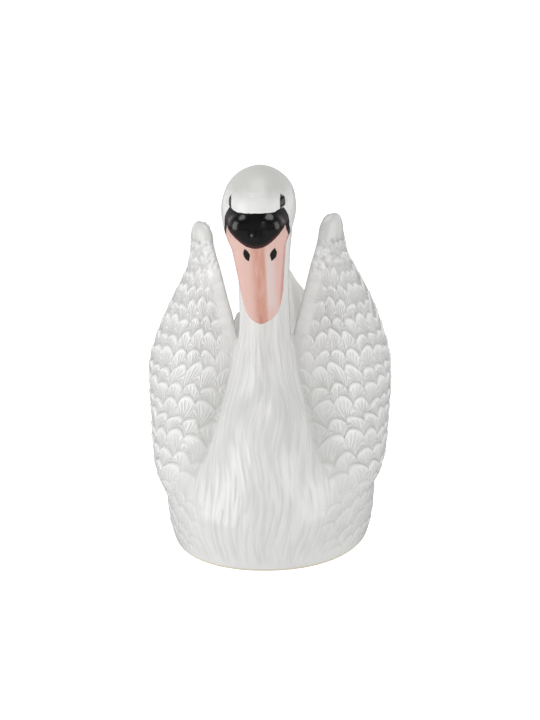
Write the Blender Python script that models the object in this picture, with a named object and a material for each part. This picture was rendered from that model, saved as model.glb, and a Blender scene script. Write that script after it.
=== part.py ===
# Swan figurine, slip cast in one piece and glazed. Metres, +Z up, the swan looks along -Y.
# The forms are drawn in millimetres and scaled once, when the mesh is made.
import math

import bmesh
import bpy
import numpy as np
from mathutils import Vector

MM = 0.001

# overall size of the finished figurine, to which the casting is brought at the end
WIDTH = 197.7
LENGTH = 264.2
HEIGHT = 297.3

# Overall forms. Each table is read by height: (height, value, value, ...) in millimetres.
FOOT_CENTRE_Y = -9.0            # middle of the oval foot, before the length is centred
# height, half width, length ahead of the foot's middle, length behind it
HULL = ((-8.0, 74.0, 96.0, 84.0), (0.0, 78.0, 100.5, 92.0), (12.0, 80.8, 103.0, 104.0),
        (32.0, 82.6, 104.0, 118.0), (48.0, 82.6, 98.5, 124.0), (64.0, 80.5, 86.0, 126.0),
        (80.0, 75.0, 68.0, 123.0), (96.0, 64.0, 46.0, 112.0), (108.0, 44.0, 26.0, 90.0),
        (115.0, 20.0, 12.0, 60.0))
HULL_SQUARENESS = 2.15          # power of the oval plan, 2 is an ellipse
HULL_ASIDE = 1.8                # the hull stands a little to the swan's left under the neck
# neck stations along its path: y, z, half width, half depth
NECK = ((-46.0, 20.0, 70.0, 68.0), (-46.0, 44.0, 63.0, 64.0), (-43.0, 66.0, 52.5, 55.0),
        (-37.5, 88.0, 41.2, 44.0), (-30.0, 110.0, 31.8, 33.0), (-22.5, 132.0, 25.3, 26.2),
        (-16.0, 154.0, 21.1, 22.0), (-12.5, 178.0, 19.7, 20.4), (-13.0, 204.0, 20.0, 20.0),
        (-18.0, 228.0, 21.5, 20.5), (-27.0, 248.0, 24.0, 22.0), (-37.0, 262.0, 24.0, 22.0))
# head stations from nape to face: y, z, half width, half height
HEAD = ((-9.0, 278.0, 9.0, 8.5), (-15.0, 277.5, 18.7, 17.3), (-25.0, 275.2, 25.2, 22.8),
        (-37.0, 271.4, 27.6, 27.0), (-48.0, 265.2, 28.2, 27.6), (-58.0, 256.5, 26.0, 24.5),
        (-64.0, 248.0, 23.0, 20.0), (-66.0, 240.0, 19.5, 15.0))
# bill stations from the face to the nail: y, z, half width, half depth, and how far each one
# stands aside to the swan's left
BILL = ((-57.0, 262.0, 22.5, 18.0, 0.0), (-60.5, 246.0, 21.1, 18.0, 0.4),
        (-61.5, 232.0, 19.2, 14.5, 1.0), (-60.0, 216.0, 17.3, 11.0, 1.7),
        (-57.5, 202.0, 15.6, 8.4, 2.0), (-54.5, 190.0, 12.8, 6.4, 1.6),
        (-52.5, 183.3, 8.6, 4.8, 0.8), (-51.3, 179.2, 3.4, 3.0, 0.0))
BILL_RIDGE = 2.2                # how far the middle of the bill stands up
BILL_SQUARENESS = 2.3           # powers of the sections, 2 is an ellipse
HEAD_SQUARENESS = 1.88
KNOB = ((0.0, -68.5, 257.0), (22.5, 12.5, 13.0))     # middle and half sizes of the black knob
KNOB_LOBE = ((10.0, -72.5, 258.0), (11.5, 10.5, 11.0))   # mirrored, they leave a saddle between
KNOB_TAIL = ((0.0, -71.5, 247.5), (13.0, 10.0, 9.5))
EYE = ((19.6, -61.8, 276.2), (3.0, 3.8, 4.4))        # middle and half sizes, mirrored

# wing stations: height, then x and y of the front rim, the widest point and the rear rim
WING = ((36.0, 66.0, -62.0, 82.0, 2.0, 50.0, 84.0), (46.0, 61.0, -66.0, 89.5, 6.0, 50.0, 96.0),
        (60.0, 53.0, -66.0, 93.5, 12.0, 50.0, 108.0), (83.0, 40.0, -56.0, 95.5, 18.0, 54.0, 120.0),
        (107.0, 33.0, -43.0, 97.0, 22.0, 61.0, 127.0), (130.0, 26.5, -30.0, 96.5, 24.0, 66.0, 126.0),
        (157.0, 22.5, -14.0, 88.5, 26.0, 68.0, 116.0), (176.0, 26.5, -7.0, 80.0, 27.0, 67.0, 103.0),
        (193.0, 31.0, -2.0, 71.5, 27.0, 63.0, 89.0), (211.0, 35.5, 3.0, 63.5, 27.0, 58.0, 72.0),
        (227.0, 40.5, 9.0, 60.5, 27.0, 56.5, 55.0), (238.0, 42.5, 14.0, 60.0, 27.0, 55.5, 44.0),
        (244.5, 45.0, 18.0, 58.5, 27.0, 54.5, 38.0), (247.5, 48.0, 22.0, 56.0, 27.3, 53.5, 33.5))
WING_THICK = ((36.0, 10.5), (107.0, 10.5), (157.0, 10.0), (211.0, 9.5), (247.5, 7.0))
LEFT_WING_DROP = 6.0            # the left wing of the original sits a little lower at its tip
WING_REAR_THICK = 6.0           # wing thickness at its rear rim
WING_RIM_SHARE = 0.62           # thickness of the front rim as a share of the wing's
REAR_TIP_PITCH = 21.0           # height of one stepped feather tip on the rear rim
REAR_TIP_OUT = 5.0              # how far each stepped tip reaches
WING_AXIS = (34.0, 36.0)        # x and y that the feather columns fan round

# tail stations from the rump to the point: y, z, half width, half thickness
TAIL = ((60.0, 62.0, 56.0, 46.0), (82.0, 88.0, 54.0, 36.0), (100.0, 110.0, 48.0, 26.0),
        (115.0, 129.0, 40.0, 17.5), (127.0, 145.0, 31.5, 11.5), (136.0, 159.0, 22.0, 8.5),
        (142.0, 171.0, 13.0, 6.5), (146.0, 180.0, 5.0, 4.0))

# feather relief
VANE_TURN = math.radians(14.0)  # width of one long feather inside the wings
VANE_RISE = 0.9                 # how far the long feathers of wing insides and tail are domed
TAIL_VANES = 7                  # long feathers across the tail's fan
FEATHER_COLUMNS = 14            # scallops from the front rim round to the rear rim
FEATHER_ROW = 12.0              # height of one row
FEATHER_STEP = 1.9              # how far a feather tip stands over the next one
FEATHER_ARC = 8.4               # height of the rounded tip
FEATHER_DOME = 0.7              # how much each feather is domed across
STEP_WIDTH = 0.13               # run of the step under a feather tip, in rows
TIPS_UNEVEN = 0.14              # how far single tips stand higher or lower, in rows
ROWS_DRIFT = 0.2                # how far single rows are moved round, in columns
FACING_OUT = 0.1                # how squarely the skin faces outwards where feathers begin
FACING_FADE = 0.3
RIM_BAND = 11.0                 # width of the smooth band along the front rim
BAND_RISE = 0.7                 # how far the band and the smooth tip stand up
WING_FEATHERS_FROM = 50.0       # height at which the wing feathers begin
SMOOTH_TIP_FROM = 226.0         # height at which a wing's smooth tip begins
BAND_FADES = 150.0              # height at which the band has half died out downwards
HULL_FEATHERS_TO = 50.0         # height at which the hull's feathers give way to the wings
BODY_FEATHER = 0.9              # relief of the flatter feathers on the hull's sides
HULL_FEATHER_ROW = 12.5
BREAST_GROOVE = 0.6             # depth of the wavy grooves on neck and breast
BREAST_PITCH = 9.0

# section of the casting
WALL = 4.0                      # wall of the hull and neck
FOOT_RING = 7.0                 # width of the unglazed foot ring
FOOT_RECESS = 1.6               # how far the underside is lifted inside the ring
VENT_DIA = 10.0                 # vent hole under the foot
NECK_HOLLOW = (40.0, 258.0)     # heights between which the neck is hollow
HEAD_HOLLOW = (246.0, 290.0)
TAIL_HOLLOW = (60.0, 140.0)
HOLLOW_LEAST = 5.0              # half width under which slip fills a form right up
HULL_EXTRA = 1.0                # the hull's wall is this much thicker, the swept forms' half as much
HULL_TOP_CLEAR = 4.0            # extra clay over the hollow where neck and wings spring

VOXEL = 1.25                    # mm, grid on which the forms flow into one skin
SOFTEN_STEPS = 16
TRIANGLES = 10450               # skin triangles left after thinning out


def smooth_read(table, h):
    """Value row of a table at height or step h, along a smooth curve through its rows."""
    rows = len(table)
    k = 0
    while k < rows - 2 and h > table[k + 1][0]:
        k += 1
    a, b = table[k], table[k + 1]
    t = min(1.0, max(0.0, (h - a[0]) / (b[0] - a[0])))
    before, after = table[max(0, k - 1)], table[min(rows - 1, k + 2)]
    out = []
    for i in range(1, len(a)):
        ma = (b[i] - before[i]) / (b[0] - before[0]) * (b[0] - a[0])
        mb = (after[i] - a[i]) / (after[0] - a[0]) * (b[0] - a[0])
        out.append((2 * t**3 - 3 * t**2 + 1) * a[i] + (t**3 - 2 * t**2 + t) * ma
                   + (3 * t**2 - 2 * t**3) * b[i] + (t**3 - t**2) * mb)
    return out


def add_loft(bm, rings):
    """Closed body through rings of equal count, capped at both ends."""
    made = [[bm.verts.new(Vector(p) * MM) for p in ring] for ring in rings]
    count = len(made[0])
    for lower, upper in zip(made, made[1:]):
        for i in range(count):
            j = (i + 1) % count
            bm.faces.new((lower[i], lower[j], upper[j], upper[i]))
    bm.faces.new(list(reversed(made[0])))
    bm.faces.new(made[-1])


def stations(table, steps):
    """Even steps along a table that has no height column: the row number is its height."""
    rows = [(float(k),) + tuple(row) for k, row in enumerate(table)]
    last = len(table) - 1
    return [smooth_read(rows, last * s / steps) for s in range(steps + 1)]


def swept_rings(rows, count, ridge=0.0, power=2.0):
    """Rings across a path. Rows hold y, z, half width, half depth and, for the bill, the place in x."""
    rings = []
    last = len(rows) - 1
    for k, (y, z, wide, deep, *aside) in enumerate(rows):
        ya, za = rows[max(0, k - 1)][:2]
        yb, zb = rows[min(last, k + 1)][:2]
        run = math.hypot(yb - ya, zb - za)
        ty, tz = (yb - ya) / run, (zb - za) / run
        ring = []
        for i in range(count):
            a = 2 * math.pi * i / count
            c, s = math.cos(a), math.sin(a)
            across = wide * math.copysign(abs(c) ** (2 / power), c)
            out = deep * math.copysign(abs(s) ** (2 / power), s)
            if s > 0:
                out += ridge * s * max(0.0, 1 - abs(c) * 1.6)
            ring.append((across + sum(aside), y + tz * -out, z + ty * out))
        rings.append(ring)
    return rings


def add_ellipsoid(bm, middle, half):
    """Ellipsoid with 24 by 16 faces."""
    made = bmesh.ops.create_uvsphere(bm, u_segments=24, v_segments=16, radius=1.0)
    for v in made["verts"]:
        v.co = Vector([(middle[i] + v.co[i] * half[i]) * MM for i in range(3)])


def hull_ring(z, count, inset=0.0):
    """Oval plan of the hull at one height."""
    wide, ahead, behind = [v - inset for v in smooth_read(HULL, z)]
    ring = []
    for i in range(count):
        a = 2 * math.pi * i / count
        c, s = math.cos(a), math.sin(a)
        length = behind if s > 0 else ahead
        ring.append((HULL_ASIDE + wide * math.copysign(abs(c) ** (2 / HULL_SQUARENESS), c),
                     FOOT_CENTRE_Y + length * math.copysign(abs(s) ** (2 / HULL_SQUARENESS), s), z))
    return ring


def wing_ring(z, side, count):
    """Crescent section of a wing at one height: outer face forward, inner face back again."""
    fx, fy, mx, my, rx, ry = smooth_read(WING, z)
    thick = smooth_read(WING_THICK, z)[0]
    if 62.0 < z < 236.0:
        lobe = ((z - 62.0) / REAR_TIP_PITCH) % 1.0
        ry += REAR_TIP_OUT * math.sqrt(max(0.0, 1 - lobe**2)) - REAR_TIP_OUT * 0.5
    outer = []
    for i in range(count + 1):
        a = math.pi * i / count
        if a <= math.pi / 2:
            outer.append((fx + (mx - fx) * math.sin(a), my - (my - fy) * math.cos(a)))
        else:
            outer.append((rx + (mx - rx) * math.sin(a), my - (ry - my) * math.cos(a)))
    inner = []
    for i, (x, y) in enumerate(outer):
        xa, ya = outer[max(0, i - 1)]
        xb, yb = outer[min(count, i + 1)]
        run = math.hypot(xb - xa, yb - ya)
        nx, ny = -(yb - ya) / run, (xb - xa) / run
        f = i / count
        depth = thick * min(1.0, WING_RIM_SHARE + 3.0 * f) * (1 - f) + WING_REAR_THICK * f
        depth = min(depth, thick)
        inner.append((x + nx * depth, y + ny * depth))
    if side < 0:
        z -= LEFT_WING_DROP * ((z - WING[0][0]) / (WING[-1][0] - WING[0][0])) ** 2
    ring = [(side * x, y, z) for x, y in outer] + [(side * x, y, z) for x, y in reversed(inner)]
    return ring if side > 0 else list(reversed(ring))


def base_forms():
    """All forms of the casting as closed overlapping bodies in one mesh."""
    bm = bmesh.new()
    low, top = HULL[0][0], HULL[-1][0]
    add_loft(bm, [hull_ring(low + (top - low) * k / 24, 64) for k in range(25)])
    add_loft(bm, swept_rings(stations(NECK, 40), 48))
    add_loft(bm, swept_rings(stations(HEAD, 18), 40, 0.0, HEAD_SQUARENESS))
    add_loft(bm, swept_rings(stations(BILL, 26), 40, BILL_RIDGE, BILL_SQUARENESS))
    add_loft(bm, swept_rings(stations(TAIL, 20), 32))
    add_ellipsoid(bm, *KNOB)
    add_ellipsoid(bm, *KNOB_TAIL)
    z0, z1 = WING[0][0], WING[-1][0]
    for side in (1, -1):
        add_loft(bm, [wing_ring(z0 + (z1 - z0) * k / 107, side, 30) for k in range(108)])
        for middle, half in (EYE, KNOB_LOBE):
            add_ellipsoid(bm, (side * middle[0], middle[1], middle[2]), half)
    bmesh.ops.recalc_face_normals(bm, faces=bm.faces)
    return bm


def soft_edge(x, width):
    """0 below, 1 above, smooth over the width round zero."""
    t = np.clip(x / width + 0.5, 0.0, 1.0)
    return t * t * (3 - 2 * t)


def feather_tip(u, row, arc):
    """Place across the feathers of one row, -0.5 to 0.5, and the height of their tips in rows."""
    at = u + 0.5 * np.mod(row, 2) + ROWS_DRIFT * np.sin(4.7 * row)
    off = np.mod(at, 1.0) - 0.5
    uneven = TIPS_UNEVEN * np.sin(7.3 * np.floor(at) + 3.1 * row)
    return off, row + 1.0 + uneven - arc * (1 - np.sqrt(np.maximum(0.0, 1 - (off * 1.9) ** 2)))


def scallops(u, v, arc, dome):
    """Height 0 to 1 of overlapping feathers with rounded tips up.
    u counts columns and v counts rows; arc is the tip's height in rows."""
    best = np.zeros_like(u)
    row = np.floor(v - TIPS_UNEVEN)
    done = np.zeros(u.shape, bool)
    for j in (row, row + 1):
        off, tip = feather_tip(u, j, arc)
        below = feather_tip(u, j - 1, arc)[1]
        inside = (v < tip) & ~done
        rise = (v - below) / np.maximum(0.2, tip - below)
        high = np.clip(rise, 0, 1) ** 0.8 - dome * (off * 2) ** 2 * np.clip(rise, 0, 1)
        close = soft_edge((tip - v) - STEP_WIDTH / 2, STEP_WIDTH)
        best = np.where(inside, high * close, best)
        done |= inside
    return best


def wing_at(z, column):
    """One column of the wing table at many heights."""
    return np.interp(z, [row[0] for row in WING], [row[column] for row in WING])


def domed(count):
    """Rounded vanes side by side: 1 on each middle line, 0 in the groove between two."""
    return 1 - (2 * np.mod(count, 1.0) - 1) ** 2


def relief(p, n):
    """Height in mm of the moulded relief at points p (mm) with unit normals n."""
    x, y, z = np.abs(p[:, 0]), p[:, 1], p[:, 2]
    out_x, out_y = x - WING_AXIS[0], y - WING_AXIS[1]
    turn = np.arctan2(out_y, out_x)
    radial = n[:, 0] * np.sign(p[:, 0]) * out_x + n[:, 1] * out_y
    radial = radial / np.maximum(1.0, np.hypot(out_x, out_y))
    rim_x, rim_y = wing_at(z, 1), wing_at(z, 2)

    # scallops on the outer face of the wings
    first, last = math.radians(-98.0), math.radians(72.0)
    u = (turn - first) / (last - first) * FEATHER_COLUMNS
    v = (z + 5.0 * np.sin(turn * 1.3 + 0.6)) / FEATHER_ROW
    u = u + 0.16 * np.sin(v * 2.3 + 1.0) + 0.1 * np.sin(v * 0.7)
    v = v + 0.12 * np.sin(u * 1.9) + 0.07 * np.sin(u * 4.3 + 2.0)
    from_rim = np.hypot(np.maximum(x - rim_x, 0.0), np.maximum(y - rim_y, 0.0))
    on_wing = soft_edge(radial - FACING_OUT, FACING_FADE) * soft_edge(x - rim_x - 1.0, 5.0)
    on_wing = on_wing * soft_edge(z - WING_FEATHERS_FROM, 26.0)
    thumb = soft_edge(z - SMOOTH_TIP_FROM, 5.0)
    band = soft_edge(RIM_BAND - from_rim, 4.0) * soft_edge(z - BAND_FADES, 50.0)
    # the feathers are flatter beside the neck than out on the bulge of the wing
    bold = 0.5 + 0.5 * soft_edge(from_rim - 17.0, 26.0)
    wing = FEATHER_STEP * scallops(u, v, FEATHER_ARC / FEATHER_ROW, FEATHER_DOME / FEATHER_STEP)
    wing = wing * bold * (1 - band) * (1 - thumb) + BAND_RISE * np.maximum(band, thumb)
    height = wing * on_wing

    # long feathers on the inner face of the wings and on the tail
    tail = soft_edge(47.0 - x, 8.0) * soft_edge(y - 92.0, 16.0) * soft_edge(z - 92.0, 14.0)
    inside = soft_edge(-radial - FACING_OUT, FACING_FADE) * soft_edge(z - 128.0, 16.0) * soft_edge(x - rim_x, 6.0)
    inside = inside * soft_edge(y - 14.0, 12.0) * (1 - tail)
    height = height + VANE_RISE * inside * domed(turn / VANE_TURN)
    fan = np.arctan2(p[:, 0], 215.0 - y)
    height = height + VANE_RISE * tail * domed(fan / math.radians(56.0) * TAIL_VANES + 0.5)

    # flatter feathers on the hull's sides and rump
    hull = (1 - soft_edge(z - HULL_FEATHERS_TO, 22.0)) * soft_edge(z - 9.0, 10.0)
    hull = hull * np.maximum(soft_edge(x - 50.0, 24.0), soft_edge(y - 10.0, 20.0))
    turn = np.arctan2(y + 20.0, x)
    hull_u = turn * 5.4 + 0.4 * np.sin(z * 0.11)
    hull_v = z / HULL_FEATHER_ROW + 0.5 * np.sin(turn * 4.0)
    height = height + BODY_FEATHER * hull * scallops(hull_u, hull_v, 0.5, 0.3)

    # wavy grooves on neck and breast
    neck = 1 - np.clip(np.maximum(np.maximum(on_wing, hull), np.maximum(inside, tail)), 0, 1)
    neck = neck * soft_edge(225.0 - z, 30.0) * soft_edge(z - 6.0, 8.0) * (y < 40.0)
    spread = np.interp(z, [0.0, 60.0, 100.0, 150.0, 230.0], [78.0, 56.0, 36.0, 21.0, 20.0])
    around = np.arctan2(p[:, 0], -(y + 15.0))
    wave = around * spread + 2.6 * np.sin(z * 0.085 + around * 3.0)
    groove = 0.5 - 0.5 * np.cos(2 * math.pi * wave / BREAST_PITCH + 1.5 * np.sin(z * 0.16))
    return height + BREAST_GROOVE * neck * groove


def apply_modifiers(obj):
    """Turn an object with modifiers into its finished mesh."""
    graph = bpy.context.evaluated_depsgraph_get()
    done = bpy.data.meshes.new_from_object(obj.evaluated_get(graph))
    obj.modifiers.clear()
    old = obj.data
    obj.data = done
    bpy.data.meshes.remove(old)


def link(name, bm):
    """New object in the scene from a bmesh."""
    mesh = bpy.data.meshes.new(name)
    bm.to_mesh(mesh)
    bm.free()
    obj = bpy.data.objects.new(name, mesh)
    bpy.context.scene.collection.objects.link(obj)
    return obj


def swan_skin():
    """The outer skin: forms flowed together, softened, feathered and thinned out."""
    obj = link("swan_figurine", base_forms())
    flow = obj.modifiers.new("flow", "REMESH")
    flow.mode = "VOXEL"
    flow.voxel_size = VOXEL * MM
    flow.adaptivity = 0.0
    soft = obj.modifiers.new("soft", "SMOOTH")
    soft.factor = 0.5
    soft.iterations = SOFTEN_STEPS
    apply_modifiers(obj)
    mesh = obj.data
    count = len(mesh.vertices)
    co = np.empty(count * 3)
    no = np.empty(count * 3)
    mesh.vertices.foreach_get("co", co)
    mesh.vertices.foreach_get("normal", no)
    co, no = co.reshape(-1, 3), no.reshape(-1, 3)
    co = co + no * (relief(co / MM, no) * MM)[:, None]
    mesh.vertices.foreach_set("co", co.ravel())
    mesh.update()
    faces = sum(len(f.vertices) - 2 for f in mesh.polygons)
    thin = obj.modifiers.new("thin", "DECIMATE")
    thin.decimate_type = "COLLAPSE"
    thin.ratio = TRIANGLES / faces
    apply_modifiers(obj)
    return obj


def flatten_foot(obj):
    """Cut the skin level at the foot and close it."""
    bm = bmesh.new()
    bm.from_mesh(obj.data)
    geometry = bm.verts[:] + bm.edges[:] + bm.faces[:]
    cut = bmesh.ops.bisect_plane(bm, geom=geometry, dist=1e-7, plane_co=(0, 0, 0),
                                 plane_no=(0, 0, 1), clear_inner=True)
    rim = [e for e in cut["geom_cut"] if isinstance(e, bmesh.types.BMEdge)]
    bmesh.ops.contextual_create(bm, geom=rim)
    bmesh.ops.recalc_face_normals(bm, faces=bm.faces)
    bm.to_mesh(obj.data)
    bm.free()


def cutter(name, bm):
    """Helper body for a Boolean, kept out of the render."""
    bmesh.ops.recalc_face_normals(bm, faces=bm.faces)
    obj = link(name, bm)
    obj.hide_render = True
    obj.display_type = "WIRE"
    return obj


def cut_with(obj, tool, operation="DIFFERENCE"):
    """Boolean with a helper body that is removed afterwards."""
    cut = obj.modifiers.new("cut", "BOOLEAN")
    cut.operation = operation
    cut.solver = "EXACT"
    cut.object = tool
    apply_modifiers(obj)
    bpy.data.objects.remove(tool)


def inset_rows(table, steps, inset, keep):
    """Stations of a swept form drawn in by one wall, for the rows whose height keep allows."""
    return [(y, z, wide - inset, deep - inset) for y, z, wide, deep in stations(table, steps)
            if keep[0] < z < keep[1] and min(wide, deep) > inset + HOLLOW_LEAST]


def cavity():
    """The hollow left when the slip is poured out: one wall inside hull, neck, head and tail root.
    The wings are thinner than two walls and a gap, so they fill up."""
    bm = bmesh.new()
    low, top = WALL, HULL[-1][0] - WALL - HULL_TOP_CLEAR
    add_loft(bm, [hull_ring(low + (top - low) * k / 8, 26, WALL + HULL_EXTRA) for k in range(9)])
    hollow = cutter("hollow", bm)
    for name, table, steps, keep in (("neck_hollow", NECK, 16, NECK_HOLLOW),
                                     ("head_hollow", HEAD, 8, HEAD_HOLLOW),
                                     ("tail_hollow", TAIL, 9, TAIL_HOLLOW)):
        bm = bmesh.new()
        add_loft(bm, swept_rings(inset_rows(table, steps, WALL + HULL_EXTRA / 2, keep), 12))
        cut_with(hollow, cutter(name, bm), "UNION")
    return hollow


def vent():
    """Vent hole from under the foot into the hollow."""
    bm = bmesh.new()
    r = VENT_DIA / 2
    add_loft(bm, [[(r * math.cos(2 * math.pi * i / 24), FOOT_CENTRE_Y + r * math.sin(2 * math.pi * i / 24), z)
                   for i in range(24)] for z in (-5.0, WALL + 6.0)])
    return cutter("vent", bm)


def recess():
    """Shallow recess inside the foot ring."""
    bm = bmesh.new()
    rings = []
    for z, draft in ((-4.0, 0.0), (0.0, 0.0), (FOOT_RECESS, 1.0)):
        ring = hull_ring(0.0, 48, FOOT_RING + draft)
        rings.append([(x, y, z) for x, y, _ in ring])
    add_loft(bm, rings)
    return cutter("recess", bm)


def glaze():
    """White glaze over the whole casting."""
    material = bpy.data.materials.new("white gloss glaze on earthenware")
    material.use_nodes = True
    shader = material.node_tree.nodes["Principled BSDF"]
    shader.inputs["Base Color"].default_value = (0.81, 0.82, 0.80, 1.0)
    shader.inputs["Roughness"].default_value = 0.12
    shader.inputs["Metallic"].default_value = 0.0
    return material


def bring_to_size(obj):
    """Bring the casting to its overall size, its length centred and its foot at height 0."""
    places = [v.co.copy() for v in obj.data.vertices]
    low = [min(p[i] for p in places) for i in range(3)]
    high = [max(p[i] for p in places) for i in range(3)]
    start = (0.0, (low[1] + high[1]) / 2, low[2])
    for axis, length in enumerate((WIDTH, LENGTH, HEIGHT)):
        share = length * MM / (high[axis] - low[axis])
        for v in obj.data.vertices:
            v.co[axis] = (v.co[axis] - start[axis]) * share


for old in list(bpy.data.objects):
    bpy.data.objects.remove(old)

swan = swan_skin()
flatten_foot(swan)
cut_with(swan, cavity())
cut_with(swan, vent())
cut_with(swan, recess())
bring_to_size(swan)
swan.data.materials.clear()
swan.data.materials.append(glaze())
for face in swan.data.polygons:
    face.use_smooth = True
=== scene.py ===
"""Swan figurine: one slip-cast earthenware body under a thick white gloss glaze, with a painted
black face and a salmon bill. The casting is built from closed forms that flow together, and a
Geometry Nodes tree lays the moulded feathers over it."""

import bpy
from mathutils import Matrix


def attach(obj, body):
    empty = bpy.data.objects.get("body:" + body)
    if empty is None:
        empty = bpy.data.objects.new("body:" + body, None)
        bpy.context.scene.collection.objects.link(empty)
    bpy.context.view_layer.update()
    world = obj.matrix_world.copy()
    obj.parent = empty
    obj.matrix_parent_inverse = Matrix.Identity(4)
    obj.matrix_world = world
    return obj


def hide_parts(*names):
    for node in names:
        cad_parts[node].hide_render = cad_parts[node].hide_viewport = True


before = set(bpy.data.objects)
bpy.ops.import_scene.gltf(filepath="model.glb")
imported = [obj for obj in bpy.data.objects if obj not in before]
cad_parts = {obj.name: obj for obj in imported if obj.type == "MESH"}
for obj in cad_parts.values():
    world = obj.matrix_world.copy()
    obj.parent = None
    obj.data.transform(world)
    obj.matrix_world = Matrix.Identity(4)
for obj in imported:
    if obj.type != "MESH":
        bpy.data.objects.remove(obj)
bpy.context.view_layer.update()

import ast
import math

import bmesh
import bpy
from mathutils import Matrix, Vector

bl_info = {
    "name": "Swan Figurine",
    "version": (1, 0, 0),
    "blender": (4, 5, 0),
    "location": "View3D > Sidebar > Swan",
    "description": "Builds a glazed ceramic swan and the studio it stands in",
    "category": "Object",
}

NODE = "swan_figurine"
MM = 0.001


# Sizes and colours

def linear(text):
    """sRGB hex colour as the linear numbers that Blender works in."""
    parts = [int(text[i:i + 2], 16) / 255 for i in (0, 2, 4)]
    return [p / 12.92 if p <= 0.04045 else ((p + 0.055) / 1.055) ** 2.4 for p in parts]


def size(name, default, about):
    """A length in millimetres that a user may change."""
    return bpy.props.FloatProperty(name=name, description=about, default=default, min=0.0, unit="NONE")


def colour(name, text, about):
    """A colour that a user may change."""
    return bpy.props.FloatVectorProperty(name=name, description=about, default=linear(text),
                                         subtype="COLOR", size=3, min=0.0, max=1.0)


class SwanSizes(bpy.types.PropertyGroup):
    """Sizes of the moulded relief and of the casting's section, in millimetres."""
    feather_row: size("Feather row", 12.0, "Height of one row of wing feathers, mm")
    feather_columns: bpy.props.IntProperty(name="Feather columns", default=14, min=4, max=24,
                                           description="Feathers from a wing's front rim to its rear rim")
    feather_step: size("Feather step", 1.9, "How far a feather's tip stands over the next one, mm")
    feather_arc: size("Feather arc", 8.4, "Height of the rounded tip, mm")
    feather_dome: size("Feather dome", 0.7, "How much each feather is domed across, mm")
    step_run: size("Step run", 1.5, "Width of the slope under a feather's tip, mm")
    rim_band: size("Rim band", 11.0, "Width of the smooth band along a wing's front rim, mm")
    band_rise: size("Band rise", 0.7, "How far that band stands up, mm")
    vane_rise: size("Vane rise", 0.9, "Doming of the long feathers inside the wings and on the tail, mm")
    body_feather: size("Body feather", 0.9, "Relief of the flatter feathers on the hull's sides, mm")
    strand_depth: size("Strand depth", 0.44, "Depth of the hair-like grooves on neck and breast, mm")
    strand_pitch: size("Strand pitch", 3.3, "Distance between those grooves, mm")
    cap_roughness: size("Cap roughness", 2.4, "Relief of the small rough feathers under a wing's tip, mm")
    wall: size("Wall", 4.0, "Wall of the hollow casting, mm")
    foot_ring: size("Foot ring", 7.0, "Width of the unglazed foot ring, mm")
    foot_recess: size("Foot recess", 1.6, "Lift of the underside inside the ring, mm")
    vent: size("Vent", 10.0, "Diameter of the vent hole under the foot, mm")
    grid: size("Grid", 0.95, "Grid on which the forms flow into one skin, mm")


class SwanColours(bpy.types.PropertyGroup):
    """Glaze and underglaze colours."""
    glaze: colour("Glaze", "F4F4F3", "White gloss glaze where it is thin over the crests")
    # greyer glaze where it pools in low places; the same grey is painted shade in grooves, under feather
    # tips, on wing tips, beside the neck and on top of the head
    pooled: colour("Pooled glaze", "CACAC7", "Glaze where it pools in the grooves, greyer")
    face: colour("Face", "060608", "Black underglaze of mask, eyes and nostrils")
    # painted highlight: a reddish-brown band along the bottom of the black knob
    face_rim_highlight: colour("Face rim", "4A2622", "Brown where the black thins out at the bottom of the knob")
    bill: colour("Bill", "EBC6BD", "Salmon underglaze of the bill")
    # painted highlight: a whitish stripe down the bill's right slope
    bill_highlight: colour("Bill pale", "E8D7D3", "Pale stripe beside the warm one, where the paint is thin")
    bill_ridge: colour("Bill ridge", "D8A08E", "Warmer salmon brushed along the middle of the bill")
    bill_edge: colour("Bill edge", "D08375", "Darker line along the edge of the bill")
    # also mixed into the tail as painted warm light
    bisque: colour("Bisque", "DDD3C0", "Bare fired clay of the foot ring")
    floor: colour("Floor", "B4B4B4", "Studio floor")


class SwanStage(bpy.types.PropertyGroup):
    """Where the camera stands and how strong the lights are."""
    azimuth: bpy.props.FloatProperty(name="Azimuth", default=math.radians(4.5), subtype="ANGLE",
                                     description="Camera's turn from straight in front of the swan")
    elevation: bpy.props.FloatProperty(name="Elevation", default=math.radians(16.0), subtype="ANGLE",
                                       description="Camera's height over the horizon")
    roll: bpy.props.FloatProperty(name="Roll", default=math.radians(1.3), subtype="ANGLE",
                                  description="Camera's turn about its own axis")
    distance: bpy.props.FloatProperty(name="Distance", default=1.4, unit="LENGTH",
                                      description="From the camera to the middle of the swan")
    lens: bpy.props.FloatProperty(name="Lens", default=117.1, description="Focal length on a 36 mm frame, mm")
    walls: bpy.props.FloatProperty(name="Walls", default=0.76, description="Brightness of the studio's walls")
    key: bpy.props.FloatProperty(name="Key light", default=11.0, unit="POWER",
                                 description="Power of the large light on the left")
    fill: bpy.props.FloatProperty(name="Fill light", default=7.0, unit="POWER",
                                  description="Power of the light on the right")
    top: bpy.props.FloatProperty(name="Top light", default=4.5, unit="POWER",
                                 description="Power of the light overhead")


# Forms of the casting, in mm

FOOT_CENTRE_Y = -9.0            # middle of the oval foot, before the length is centred
# height, half width, length ahead of the foot's middle, length behind it
HULL = ((-8.0, 74.0, 96.0, 84.0), (0.0, 78.0, 100.5, 92.0), (12.0, 80.8, 103.0, 104.0),
        (32.0, 82.6, 104.0, 118.0), (48.0, 82.6, 98.5, 124.0), (64.0, 80.5, 86.0, 126.0),
        (80.0, 75.0, 68.0, 123.0), (96.0, 64.0, 46.0, 112.0), (108.0, 44.0, 26.0, 90.0),
        (115.0, 20.0, 12.0, 60.0))
HULL_SQUARENESS = 2.15          # power of the oval plan, 2 is an ellipse
HULL_ASIDE = 1.8                # the hull stands a little to the swan's left under the neck
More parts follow.
